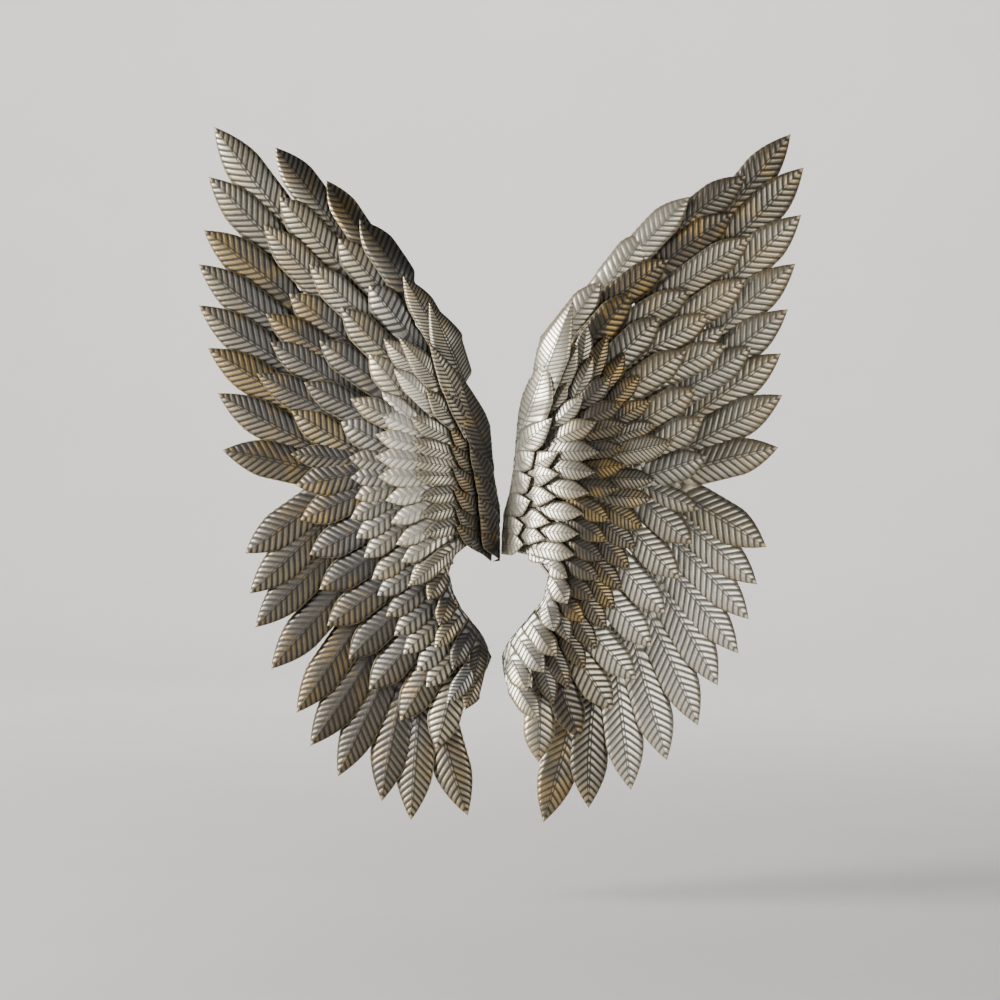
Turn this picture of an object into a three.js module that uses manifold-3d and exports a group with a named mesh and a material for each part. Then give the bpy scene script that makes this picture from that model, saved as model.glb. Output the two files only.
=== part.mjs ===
// Angel wings for a wall: two mirrored fans of overlapping sheet metal leaves on bent rods.
// Millimetres, +Z up. The wings face -Y and their hanger plates lie on the wall plane y = 0.
// The origin lies on the wall, on the seam between the wings, at the height of the hanger holes.
import * as THREE from "three";
import { mergeVertices } from "three/addons/utils/BufferGeometryUtils.js";
import Module from "manifold-3d";

const wasm = await Module();
wasm.setup();

// The pair as a whole
const WING_HEIGHT = 900; // lowest leaf tip to highest leaf tip
const REACH_SHARE = 0.438;
const WING_REACH = REACH_SHARE * WING_HEIGHT; // seam to the outermost leaf tip of one wing
const HANG_SHARE = 0.709; // height of the hanger holes above the lowest tip
const SEAM_GAP = 0.3; // between the two wings where they meet
const WALL_GAP = 14; // wall to the back layer at the outermost tips

// Sheet, rods and the room between them
const SHEET = 1.0;
const LAYER_GAP = 0.0022 * WING_HEIGHT; // free room between one row of leaves and the next
const ROD = 0.0045 * WING_HEIGHT; // square rod that carries the roots of one row
const RIB = 0.0055 * WING_HEIGHT; // square rod that crosses behind the row rods
const SPINE = 0.009 * WING_HEIGHT; // square rod that joins the ribs
const CLEARANCE = 0.3; // between a rib and what lies on it
const WELD = 1.0; // how far two welded rods sink into each other
const ROD_STRETCH = 0.083 * WING_HEIGHT; // length of one straight stretch of a row's rod
const RIB_STRETCH = 0.05 * WING_HEIGHT; // length of one straight stretch of a rib
const RIB_END = 2; // how far a rib runs on past the last rod that it carries

// Blade sizes of each kind of leaf, which follow the height of the wings
const PRIMARY_LENGTH = 0.189 * WING_HEIGHT;
const PRIMARY_WIDTH = 0.0555 * WING_HEIGHT;
const SECONDARY_LENGTH = 0.158 * WING_HEIGHT;
const SECONDARY_WIDTH = 0.048 * WING_HEIGHT;
const TERTIAL_LENGTH = 0.142 * WING_HEIGHT;
const TERTIAL_WIDTH = 0.0445 * WING_HEIGHT;
const MIDDLE_LENGTH = 0.12 * WING_HEIGHT;
const MIDDLE_WIDTH = 0.0455 * WING_HEIGHT;
const COVERT_LENGTH = 0.0855 * WING_HEIGHT;
const COVERT_WIDTH = 0.03 * WING_HEIGHT;
const SMALL_LENGTH = 0.06 * WING_HEIGHT;
const SMALL_WIDTH = 0.028 * WING_HEIGHT;
const EDGE_LENGTH = 0.108 * WING_HEIGHT;
const EDGE_WIDTH = 0.051 * WING_HEIGHT;
const FOLD_SHARE = 0.1; // height of the raised midrib, by leaf width
const ROLL_SHARE = 0.1; // how far one edge lies over its neighbour, by leaf width
const TIP_LIFT = 0.0013 * WING_HEIGHT; // how far a tip stands off the row below

// The bulge of each wing: how far its back layer stands off the wall gap
const RIDGE_RISE = 0.02 * WING_REACH; // slow rise from the outer tips to the ridge
const RIDGE_SPAN = 0.838 * WING_REACH;
const BULGE_RISE = 0.043 * WING_REACH; // rounded ridge beside the inner edge
const BULGE_SPAN = 0.233 * WING_REACH;
const INNER_DROP = 0.1675 * WING_REACH; // fall from the ridge to the inner edge
const INNER_SPAN = 0.254 * WING_REACH;

// Hanger plates and foot pads
const PLATE_THICKNESS = 3;
const PLATE_MARGIN = 9; // metal left around a plate's hole and its leg
const HANG_HOLE = 10;
const PAD_SIZE = 26;
const LEG = 8;

const GOLD = { color: 0x9a8a6c, roughness: 0.45, metalness: 0.9 };
const DARK_STEEL = { color: 0x2f2e2d, roughness: 0.6, metalness: 0.8 };

// A table's rows get the names of its columns. A missing last column keeps the value above it.
function table(columns, ...lines) {
  let last = {};
  return lines.map((line) => {
    last = { ...last };
    line.forEach((value, i) => {
      last[columns[i]] = value;
    });
    return last;
  });
}

// at: number of the leaf in its row. out, up: its tip, as shares of WING_REACH and WING_HEIGHT.
// aim: degrees above the outward direction. long, wide: shares of the row's leaf sizes.
// roll: +1 where each leaf lies over the one before it, -1 where it lies under it.
const LEAF = ["at", "out", "up", "aim", "long", "wide", "roll"];

const RIGHT_ROWS = [
  {
    name: "primary", length: PRIMARY_LENGTH, width: PRIMARY_WIDTH, root: 0.55, belly: 0.64,
    leaves: table(LEAF,
      [0, 0.954, 0.991, 48, 1, 0.92, 1],
      [1, 0.999, 0.944, 45.5, 1, 1],
      [3, 0.974, 0.806, 43],
      [5, 0.927, 0.676, 36],
      [6, 0.932, 0.616, 30],
      [7, 0.918, 0.54, 16, 0.95, 1, 0],
      [8, 0.878, 0.396, -35, 0.9, 1.05, -1],
      [9, 0.848, 0.342, -40, 0.95, 0.97],
      [11, 0.786, 0.242, -50.5, 1, 0.95],
      [12, 0.717, 0.196, -61, 1, 1],
      [13, 0.652, 0.138, -66],
      [15, 0.43, 0.045, -84],
      [17, 0.141, 0, -103]),
  },
  {
    name: "secondary", length: SECONDARY_LENGTH, width: SECONDARY_WIDTH, root: 0.8, belly: 0.67,
    leaves: table(LEAF,
      [0, 0.806, 0.93, 35, 1, 1, 1],
      [1, 0.762, 0.876, 36],
      [2, 0.825, 0.843, 36],
      [3, 0.808, 0.783, 32],
      [4, 0.74, 0.714, 35, 0.75, 0.7],
      [5, 0.828, 0.686, 37, 1, 1]),
  },
  {
    name: "tertial", length: TERTIAL_LENGTH, width: TERTIAL_WIDTH, root: 0.8, belly: 0.67,
    leaves: table(LEAF,
      [0, 0.618, 0.899, 49, 1, 1, 1],
      [1, 0.479, 0.848, 47, 0.85, 1.07],
      [2, 0.55, 0.809, 36.5, 1, 1],
      [3, 0.625, 0.765, 29],
      [4, 0.69, 0.732, 32, 1, 0.96],
      [5, 0.743, 0.687, 30, 1, 1]),
  },
  {
    name: "middle", length: MIDDLE_LENGTH, width: MIDDLE_WIDTH, root: 0.8, belly: 0.66,
    leaves: table(LEAF,
      [0, 0.328, 0.777, 45, 1, 0.9, 1],
      [1, 0.427, 0.761, 51, 1, 1],
      [2, 0.524, 0.727, 43],
      [3, 0.609, 0.679, 32],
      [4, 0.641, 0.625, 33],
      [5, 0.667, 0.583, 31],
      [6, 0.677, 0.527, 25, 1, 1, 0],
      [7, 0.653, 0.45, -30, 0.8, 0.7, -1],
      [8, 0.628, 0.401, -44, 1, 1],
      [10, 0.539, 0.301, -48],
      [12, 0.443, 0.206, -47],
      [13, 0.366, 0.163, -56],
      [14, 0.258, 0.122, -74],
      [15, 0.123, 0.089, -88]),
  },
  {
    name: "outer_covert", length: COVERT_LENGTH, width: COVERT_WIDTH, root: 0.8, belly: 0.64,
    leaves: table(LEAF,
      [0, 0.283, 0.716, 80, 1, 0.85, 1],
      [1, 0.348, 0.7, 72, 1, 0.9],
      [2, 0.406, 0.676, 58],
      [3, 0.458, 0.644, 48, 1, 1],
      [4, 0.492, 0.607, 35],
      [5, 0.511, 0.572, 15, 1, 0.95],
      [6, 0.564, 0.547, 12, 1.2, 1.3, 0],
      [7, 0.507, 0.493, -2, 1, 1, -1],
      [8, 0.498, 0.466, 5],
      [9, 0.466, 0.424, -35, 1, 1.1],
      [11, 0.423, 0.366, -42],
      [12, 0.398, 0.335, -50, 1, 1],
      [14, 0.347, 0.278, -55],
      [16, 0.277, 0.221, -60],
      [17, 0.222, 0.193, -62],
      [18, 0.173, 0.172, -70]),
  },
  {
    name: "middle_covert", length: COVERT_LENGTH, width: COVERT_WIDTH, root: 0.7, belly: 0.64,
    leaves: table(LEAF,
      [0, 0.301, 0.669, 62, 0.9, 0.85, 1],
      [1, 0.361, 0.642, 45, 0.9, 1],
      [2, 0.397, 0.602, 22],
      [3, 0.411, 0.572, 12],
      [4, 0.402, 0.54, 8],
      [5, 0.406, 0.514, 10, 0.9, 1, 0],
      [6, 0.386, 0.48, -5, 0.9, 1, -1],
      [7, 0.357, 0.434, -35],
      [9, 0.339, 0.379, -28],
      [11, 0.307, 0.322, -33],
      [12, 0.274, 0.29, -34],
      [13, 0.223, 0.261, -69]),
  },
  {
    name: "inner_covert", length: COVERT_LENGTH, width: COVERT_WIDTH, root: 0.85, belly: 0.64,
    leaves: table(LEAF,
      [0, 0.251, 0.684, 65, 0.9, 0.95, 1],
      [1, 0.219, 0.632, 55, 0.9, 0.75],
      [2, 0.269, 0.612, 48, 0.9, 0.9],
      [3, 0.311, 0.575, 23, 0.95, 1.05],
      [4, 0.321, 0.532, -3, 0.95, 1, 0],
      [5, 0.308, 0.503, -12, 0.9, 0.95, -1],
      [7, 0.268, 0.445, -9],
      [9, 0.241, 0.386, -4, 0.85],
      [10, 0.218, 0.353, -42, 0.6, 0.9],
      [11, 0.217, 0.316, -50, 0.6, 1],
      [12, 0.173, 0.277, -58, 0.6],
      [13, 0.184, 0.241, -45, 0.78, 1.1],
      [14, 0.142, 0.218, -50, 0.78],
      [15, 0.087, 0.192, -64, 0.8],
      [16, 0.125, 0.151, -50, 0.8]),
  },
  {
    name: "small_covert", length: SMALL_LENGTH, width: SMALL_WIDTH, root: 0.85, belly: 0.64,
    leaves: table(LEAF,
      [0, 0.189, 0.532, 26, 0.85, 0.95, 1],
      [1, 0.189, 0.501, -5, 0.85, 1, 0],
      [2, 0.18, 0.468, -4, 0.85, 1, -1],
      [3, 0.16, 0.432, -11, 0.8],
      [4, 0.146, 0.409, 0, 0.7]),
  },
  {
    name: "edge", length: EDGE_LENGTH, width: EDGE_WIDTH, root: 0.85, belly: 0.61,
    leaves: table(LEAF,
      [0, 0.235, 0.749, 68, 1.13, 1, -1],
      [1, 0.15, 0.666, 71, 1.12, 0.82],
      [2, 0.169, 0.581, 38, 0.62, 0.66],
      [3, 0.111, 0.532, 22, 0.4, 0.64],
      [4, 0.1, 0.496, 12, 0.4, 0.7],
      [5, 0.097, 0.463, 10],
      [6, 0.074, 0.429, 10, 0.36, 0.7],
      [7, 0.074, 0.4, 8, 0.32, 0.66]),
  },
];

const LEFT_ROWS = [
  {
    name: "primary", length: PRIMARY_LENGTH, width: PRIMARY_WIDTH, root: 0.55, belly: 0.62,
    leaves: table(LEAF,
      [0, 0.94, 1, 50, 1, 1, 1],
      [1, 0.96, 0.929, 46],
      [2, 0.978, 0.853, 40],
      [3, 0.995, 0.804, 36],
      [4, 0.995, 0.745, 33],
      [6, 0.933, 0.618, 30, 1, 0.97],
      [7, 0.917, 0.536, 16, 1, 1, 0],
      [8, 0.842, 0.387, -41, 0.9, 1, -1],
      [9, 0.828, 0.329, -44, 0.95],
      [10, 0.809, 0.28, -45, 1],
      [11, 0.757, 0.22, -48],
      [12, 0.673, 0.157, -55, 1, 0.97],
      [13, 0.628, 0.109, -57, 1, 1],
      [14, 0.536, 0.065, -64, 1, 0.94],
      [15, 0.391, 0.03, -79, 1, 1],
      [16, 0.295, 0.003, -86],
      [17, 0.108, 0.011, -104]),
  },
  {
    name: "secondary", length: SECONDARY_LENGTH, width: SECONDARY_WIDTH, root: 0.8, belly: 0.67,
    leaves: table(LEAF,
      [0, 0.738, 0.97, 52, 1, 1, 1],
      [1, 0.724, 0.899, 47],
      [2, 0.777, 0.859, 46, 1.1],
      [3, 0.695, 0.761, 41, 0.95],
      [4, 0.773, 0.732, 34, 1.1],
      [5, 0.756, 0.691, 32, 1],
      [6, 0.802, 0.646, 32, 1.15],
      [7, 0.686, 0.592, 32, 0.85, 0.95],
      [8, 0.69, 0.53, 10, 0.8, 0.75, 0],
      [9, 0.672, 0.485, -21, 0.9, 1, -1],
      [10, 0.658, 0.435, -23, 0.85],
      [12, 0.595, 0.335, -35],
      [13, 0.57, 0.283, -35],
      [14, 0.499, 0.235, -43, 0.85, 0.96],
      [15, 0.432, 0.191, -50, 0.85, 1],
      [16, 0.329, 0.147, -59],
      [17, 0.211, 0.107, -73]),
  },
  {
    name: "tertial", length: TERTIAL_LENGTH, width: TERTIAL_WIDTH, root: 0.8, belly: 0.67,
    leaves: table(LEAF,
      [0, 0.57, 0.923, 55, 0.95, 0.9, 1],
      [1, 0.529, 0.838, 47, 0.95, 1],
      [2, 0.626, 0.802, 40, 1],
      [3, 0.594, 0.693, 40],
      [4, 0.645, 0.633, 32],
      [5, 0.523, 0.576, 31, 0.75, 0.95],
      [6, 0.496, 0.525, 8, 0.6, 0.7, 0],
      [7, 0.49, 0.496, 0, 0.58, 0.7, -1],
      [8, 0.476, 0.467, -15, 0.55, 0.7],
      [9, 0.491, 0.437, -32, 0.62],
      [11, 0.447, 0.381, -38],
      [12, 0.421, 0.35, -38],
      [13, 0.403, 0.327, -37],
      [14, 0.375, 0.297, -38],
      [16, 0.318, 0.243, -42],
      [17, 0.274, 0.218, -50],
      [18, 0.243, 0.196, -47]),
  },
  {
    name: "middle", length: MIDDLE_LENGTH, width: MIDDLE_WIDTH, root: 0.8, belly: 0.66,
    leaves: table(LEAF,
      [0, 0.461, 0.865, 50, 1, 1, 1],
      [1, 0.429, 0.771, 52, 1, 1],
      [2, 0.522, 0.74, 48, 1],
      [3, 0.43, 0.673, 47, 0.9, 0.9],
      [4, 0.491, 0.609, 38, 1, 0.8],
      [5, 0.388, 0.619, 36, 0.8, 0.65],
      [6, 0.405, 0.59, 26, 0.8, 0.67],
      [8, 0.41, 0.526, 8, 0.8, 0.68, 0],
      [9, 0.4, 0.497, 0, 0.75, 0.68, -1],
      [10, 0.376, 0.463, -16, 0.7, 0.62],
      [12, 0.341, 0.4, -30, 0.7, 0.58],
      [13, 0.324, 0.375, -34, 0.7, 0.6],
      [14, 0.297, 0.344, -38, 0.65]),
  },
  {
    name: "inner_covert", length: COVERT_LENGTH, width: COVERT_WIDTH, root: 0.85, belly: 0.64,
    leaves: table(LEAF,
      [0, 0.318, 0.783, 53, 1.5, 1.3, 1],
      [1, 0.381, 0.694, 50, 1.25, 1.2],
      [2, 0.348, 0.651, 42, 1.1, 1.05],
      [3, 0.292, 0.582, 30, 1, 1],
      [5, 0.292, 0.521, 10, 1, 0.9, 0],
      [6, 0.285, 0.499, 0, 1, 0.9, -1],
      [7, 0.26, 0.468, -9, 0.95],
      [8, 0.26, 0.442, -15],
      [9, 0.249, 0.416, -20, 0.85],
      [10, 0.301, 0.341, -38, 1],
      [11, 0.236, 0.322, -56, 0.65],
      [12, 0.2, 0.285, -62, 0.6],
      [13, 0.214, 0.253, -43, 0.75, 0.85],
      [14, 0.157, 0.223, -62, 0.8, 0.9],
      [15, 0.09, 0.203, -75, 0.75],
      [16, 0.175, 0.174, -58, 1.05],
      [17, 0.117, 0.165, -58, 0.75]),
  },
  {
    name: "small_covert", length: SMALL_LENGTH, width: SMALL_WIDTH, root: 0.85, belly: 0.64,
    leaves: table(LEAF,
      [0, 0.233, 0.745, 58, 1.9, 1.65, 1],
      [1, 0.332, 0.697, 57, 1.45, 1.3],
      [2, 0.241, 0.621, 50, 1.1, 1.2],
      [3, 0.164, 0.567, 30, 1.05, 1.05],
      [4, 0.162, 0.543, 38, 0.85, 0.88],
      [5, 0.158, 0.513, 38, 0.8, 0.95],
      [6, 0.155, 0.481, 28, 0.8],
      [7, 0.148, 0.455, 20, 0.72, 0.9, 0],
      [8, 0.148, 0.43, 10, 0.7, 0.9, -1]),
  },
  {
    name: "edge", length: EDGE_LENGTH, width: EDGE_WIDTH, root: 0.85, belly: 0.61,
    leaves: table(LEAF,
      [0, 0.24, 0.672, 62, 0.95, 0.62, 1],
      [1, 0.194, 0.63, 60, 0.85, 0.5],
      [2, 0.142, 0.651, 66, 1.15, 0.75],
      [3, 0.101, 0.543, 45, 0.55, 0.53],
      [4, 0.088, 0.504, 42, 0.5, 0.62],
      [5, 0.074, 0.47, 46, 0.45, 0.58],
      [6, 0.066, 0.443, 50, 0.42, 0.54],
      [7, 0.063, 0.417, 45, 0.36, 0.52]),
  },
];

// The inner edge of each wing, where its leaves are trimmed: the seam, and the heart below it
const RIGHT_EDGE = table(["up", "out"],
  [0, 0], [0.185, 0.026], [0.224, 0.008], [0.242, 0.005], [0.261, 0.026], [0.296, 0.092],
  [0.322, 0.14], [0.359, 0.158], [0.373, 0.153], [0.376, 0], [0.442, 0.008], [0.471, 0.028],
  [0.507, 0.042], [0.545, 0.048], [0.59, 0.057], [0.615, 0.071], [0.633, 0.088], [0.644, 0.105],
  [0.673, 0.117], [0.709, 0.134]);
const LEFT_EDGE = table(["up", "out"],
  [0, 0], [0.185, 0.068], [0.219, 0.049], [0.24, 0.03], [0.269, 0.058], [0.285, 0.087],
  [0.308, 0.129], [0.33, 0.153], [0.361, 0.169], [0.372, 0.163], [0.376, 0.003], [0.46, 0.003],
  [0.49, 0.019], [0.583, 0.035], [0.65, 0.094], [0.693, 0.124]);

// The ridge of the bulge: how far out it runs at each height, as shares of the wing's sizes
const RIDGE = table(["up", "out"],
  [0, 0.1], [0.15, 0.13], [0.25, 0.18], [0.33, 0.245], [0.42, 0.275], [0.52, 0.285], [0.62, 0.29],
  [0.72, 0.27], [0.8, 0.4], [0.9, 0.66], [1, 0.9]);

// Ribs behind the rods: the inner and outer end of each, as shares of the wing's sizes.
// spine: where the spine crosses it, as a share of its length. wall: what reaches the wall there.
const RIBS = table(["inOut", "inUp", "outOut", "outUp", "spine", "wall"],
  [0.16, 0.665, 0.69, 0.83, 0.42, "hanger"],
  [0.09, 0.575, 0.68, 0.7, 0.46, "free"],
  [0, 0.52, 0.56, 0.535, 0.48],
  [0, 0.44, 0.53, 0.44, 0.5],
  [0.15, 0.315, 0.52, 0.34, 0.4, "foot"],
  [0.1, 0.25, 0.36, 0.22, 0.45, "free"]);

// Value of one column at a place along a table, on a smooth curve through its rows
function along(rows, key, column, place) {
  const last = rows.length - 1;
  const i = Math.min(last - 1, Math.max(0, rows.findIndex((row) => row[key] >= place) - 1));
  const slope = (k) => {
    const a = rows[Math.max(0, k - 1)];
    const b = rows[Math.min(last, k + 1)];
    return (b[column] - a[column]) / (b[key] - a[key]);
  };
  const span = rows[i + 1][key] - rows[i][key];
  const t = THREE.MathUtils.clamp((place - rows[i][key]) / span, 0, 1);
  const h = t * t * (3 - 2 * t);
  const rise = t * (1 - t) * (1 - t) * slope(i) - t * t * (1 - t) * slope(i + 1);
  return rows[i][column] * (1 - h) + rows[i + 1][column] * h + rise * span;
}

// How far the back layer stands off the wall at a place on the wing
function shell(out, up) {
  const ridge = along(RIDGE, "up", "out", up / WING_HEIGHT) * WING_REACH;
  const away = out - ridge;
  if (away < 0) {
    const fall = Math.min(1.25, -away / INNER_SPAN);
    return WALL_GAP + RIDGE_RISE + BULGE_RISE - INNER_DROP * fall * fall;
  }
  const slow = 0.5 + 0.5 * Math.cos(Math.PI * Math.min(1, away / RIDGE_SPAN));
  const round = Math.exp(-((away / BULGE_SPAN) ** 2));
  return WALL_GAP + RIDGE_RISE * slow + BULGE_RISE * round;
}

// How far in a wing reaches at each height
function innerEdge(rows) {
  const ups = rows.map((row) => row.up * WING_HEIGHT);
  const outs = rows.map((row) => row.out * WING_REACH + SEAM_GAP / 2);
  const line = new THREE.LinearInterpolant(ups, outs, 1);
  return (up) => line.evaluate(up)[0];
}

// A closed solid from its corner points and triangles, turned so that its faces point out
function solid(points, triangles) {
  const vertProperties = new Float32Array(points.flatMap((p) => [p.x, p.y, p.z]));
  const volume = triangles.reduce((sum, [a, b, c]) => {
    const cross = new THREE.Vector3().crossVectors(points[b], points[c]);
    return sum + points[a].dot(cross);
  }, 0);
  const order = volume < 0 ? triangles.map(([a, b, c]) => [a, c, b]) : triangles;
  const triVerts = new Uint32Array(order.flat());
  return new wasm.Manifold(new wasm.Mesh({ numProp: 3, vertProperties, triVerts }));
}

function fromGeometry(geometry) {
  const bare = geometry.clone();
  bare.deleteAttribute("normal");
  bare.deleteAttribute("uv");
  const merged = mergeVertices(bare, 1e-4);
  const spots = merged.getAttribute("position");
  const points = [];
  for (let i = 0; i < spots.count; i += 1) {
    points.push(new THREE.Vector3().fromBufferAttribute(spots, i));
  }
  const triangles = [];
  for (let i = 0; i < merged.index.count; i += 3) {
    triangles.push([0, 1, 2].map((k) => merged.index.getX(i + k)));
  }
  return solid(points, triangles);
}

function fuse(solids) {
  return solids.reduce((sum, next) => sum.add(next));
}

// A square rod along a list of places
function rod(places, thickness, stretches) {
  const half = thickness / 2;
  const corners = [[-half, -half], [half, -half], [half, half], [-half, half]];
  const section = new THREE.Shape(corners.map(([x, y]) => new THREE.Vector2(x, y)));
  const extrudePath = new THREE.CatmullRomCurve3(places);
  return fromGeometry(new THREE.ExtrudeGeometry(section, { steps: stretches, extrudePath }));
}

// A place on the wing, in the part's frame
function place(side, out, up, depth) {
  return new THREE.Vector3(side * out, -depth, up - HANG_SHARE * WING_HEIGHT);
}

// Tip, root and size of every leaf in a row, and the run of the rod through the roots
function layOut(row, edgeAt, layerDepth) {
  const count = row.leaves[row.leaves.length - 1].at + 1;
  const leaves = [];
  for (let n = 0; n < count; n += 1) {
    const value = (column) => along(row.leaves, "at", column, n);
    const aim = THREE.MathUtils.degToRad(value("aim"));
    const length = value("long") * row.length;
    const tip = new THREE.Vector2(value("out") * WING_REACH, value("up") * WING_HEIGHT);
    const root = new THREE.Vector2(tip.x - length * Math.cos(aim), tip.y - length * Math.sin(aim));
    leaves.push({ tip, root, width: value("wide") * row.width, roll: value("roll") });
  }
  const eased = leaves.map(({ root }, n) => {
    const before = leaves[Math.max(0, n - 1)].root;
    const after = leaves[Math.min(count - 1, n + 1)].root;
    return new THREE.Vector2((before.x + 2 * root.x + after.x) / 4, (before.y + 2 * root.y + after.y) / 4);
  });
  leaves.forEach((leaf, n) => {
    leaf.root = eased[n];
  });
  const beyond = (end, next) => {
    const spare = (row.root * leaves[end].width) / 2 + WELD;
    return eased[end].clone().sub(eased[next]).setLength(spare).add(eased[end]);
  };
  const run = [beyond(0, 1), ...eased, beyond(count - 1, count - 2)].map((spot) => {
    const out = Math.max(spot.x, edgeAt(spot.y) + ROD * Math.SQRT1_2);
    return new THREE.Vector3(out, spot.y, shell(out, spot.y) + layerDepth - SHEET / 2);
  });
  const bend = new THREE.CatmullRomCurve3(run);
  const stretches = Math.max(3, Math.round(bend.getLength() / ROD_STRETCH));
  return { leaves, run, stretches, spots: bend.getSpacedPoints(stretches) };
}

// Nearest place to a spot on the straight stretches of a rod, and the direction of the rod there
function nearest(spots, spot) {
  let best = null;
  for (let i = 0; i + 1 < spots.length; i += 1) {
    const stretch = new THREE.Line3(
      new THREE.Vector3(spots[i].x, spots[i].y, 0),
      new THREE.Vector3(spots[i + 1].x, spots[i + 1].y, 0),
    );
    const spot3 = new THREE.Vector3(spot.x, spot.y, 0);
    const t = stretch.closestPointToPointParameter(spot3, true);
    const distance = stretch.at(t, new THREE.Vector3()).distanceTo(spot3);
    if (!best || distance < best.distance) {
      const middle = new THREE.Vector3().lerpVectors(spots[i], spots[i + 1], t);
      const direction = new THREE.Vector3().subVectors(spots[i + 1], spots[i]).normalize();
      best = { distance, middle, direction };
    }
  }
  return best;
}

// One leaf: a thin folded blade that follows the bulge of the wing
function leafSolid(side, row, leaf, spots, edgeAt, layerDepth) {
  const { middle: seat, direction } = nearest(spots, leaf.root);
  const run = new THREE.Vector2(leaf.tip.x - seat.x, leaf.tip.y - seat.y);
  const across = new THREE.Vector2(run.y, -run.x).normalize();
  const rodSide = Math.sign(direction.x * across.x + direction.y * across.y) || 1;
  const shoulder = (1 + row.belly) / 2;
  const sections = table(["at", "wide", "fold"],
    [0, row.root, 0],
    [row.belly, 1, 1],
    [shoulder, 0.78, 0.8],
    [1, 0, 0.3]);
  const front = [];
  sections.forEach(({ at, wide, fold }) => {
    const sides = { 0: [-1, 1], 1: [0] }[at] ?? [-1, 0, 1];
    sides.forEach((s) => {
      const reach = (s * wide * leaf.width) / 2;
      if (at === 0) {
        const corner = direction.clone().multiplyScalar(rodSide * reach).add(seat);
        front.push({ out: corner.x, up: corner.y, depth: corner.z + SHEET / 2 });
        return;
      }
      const up = seat.y + run.y * at + across.y * reach;
      const out = Math.max(edgeAt(up), seat.x + run.x * at + across.x * reach);
      const raised = FOLD_SHARE * leaf.width * fold * (s === 0 ? 1 : 0);
      const rolled = (ROLL_SHARE * leaf.width * wide * (1 - leaf.roll * s)) / 2;
      const lifted = TIP_LIFT * at * at * at;
      const depth = shell(out, up) + layerDepth + raised + rolled + lifted;
      front.push({ out, up, depth });
    });
  });
  const count = front.length;
  const points = [
    ...front.map((p) => place(side, p.out, p.up, p.depth)),
    ...front.map((p) => place(side, p.out, p.up, p.depth - SHEET)),
  ];
  const rootFace = [[0, 1, 3], [0, 3, 2], [1, 4, 3]];
  const middleFace = [[2, 3, 5], [3, 6, 5], [3, 4, 6], [4, 7, 6]];
  const tipFace = [[5, 6, 8], [6, 7, 8]];
  const face = [...rootFace, ...middleFace, ...tipFace];
  const rim = [0, 1, 4, 7, 8, 5, 2];
  const triangles = [
    ...face,
    ...face.map(([a, b, c]) => [a + count, c + count, b + count]),
    ...rim.flatMap((a, i) => {
      const b = rim[(i + 1) % rim.length];
      return [[a, a + count, b], [b, a + count, b + count]];
    }),
  ];
  return solid(points, triangles);
}

// Where a straight line on the wing crosses a row's rod
function crossing(spots, from, to) {
  for (let i = 0; i + 1 < spots.length; i += 1) {
    const a = spots[i];
    const b = spots[i + 1];
    const run = { x: to.x - from.x, y: to.y - from.y };
    const rodRun = { x: b.x - a.x, y: b.y - a.y };
    const cross = run.x * rodRun.y - run.y * rodRun.x;
    const t = ((a.x - from.x) * rodRun.y - (a.y - from.y) * rodRun.x) / cross;
    const s = ((a.x - from.x) * run.y - (a.y - from.y) * run.x) / cross;
    if (t >= 0 && t <= 1 && s >= 0 && s <= 1) {
      return { t, spot: new THREE.Vector3().lerpVectors(a, b, s) };
    }
  }
  return null;
}

function backFrame(side, rows) {
  const spineRun = [];
  const metal = [];
  const sink = ROD / 2 + RIB / 2 + CLEARANCE;
  RIBS.forEach((line) => {
    const from = new THREE.Vector2(line.inOut * WING_REACH, line.inUp * WING_HEIGHT);
    const to = new THREE.Vector2(line.outOut * WING_REACH, line.outUp * WING_HEIGHT);
    const seats = rows.map((row) => crossing(row.spots, from, to)).filter(Boolean);
    seats.sort((a, b) => a.t - b.t);
    const run = seats.map(({ spot }) => place(side, spot.x, spot.y, spot.z - sink));
    const ends = [[run[0], run[1]], [run[run.length - 1], run[run.length - 2]]];
    const [first, last] = ends.map(([end, next]) => end.clone().sub(next).setLength(RIB_END).add(end));
    const places = [first, ...run, last];
    const length = new THREE.CatmullRomCurve3(places).getLength();
    metal.push(rod(places, RIB, Math.round(length / RIB_STRETCH)));
    const spot = new THREE.CatmullRomCurve3(places).getPointAt(line.spine);
    spineRun.push(spot.add(new THREE.Vector3(0, RIB / 2 + SPINE / 2 - WELD, 0)));
  });
  metal.push(rod(spineRun, SPINE, RIBS.length * 2));
  RIBS.forEach(({ wall }, i) => {
    if (wall === "hanger") metal.push(wallLeg(spineRun[i]), hangerPlate(spineRun[i]));
    if (wall === "foot") metal.push(wallLeg(spineRun[i]), footPad(spineRun[i]));
  });
  return fuse(metal);
}

// A leg from the spine back to the plate that touches the wall
function wallLeg(start) {
  const length = -start.y - PLATE_THICKNESS / 2;
  const leg = new THREE.BoxGeometry(LEG, length, LEG);
  leg.translate(start.x, start.y + length / 2, start.z);
  return fromGeometry(leg);
}

function footPad(start) {
  const pad = new THREE.BoxGeometry(PAD_SIZE, PLATE_THICKNESS, PAD_SIZE);
  pad.translate(start.x, -PLATE_THICKNESS / 2, start.z);
  return fromGeometry(pad);
}

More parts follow.
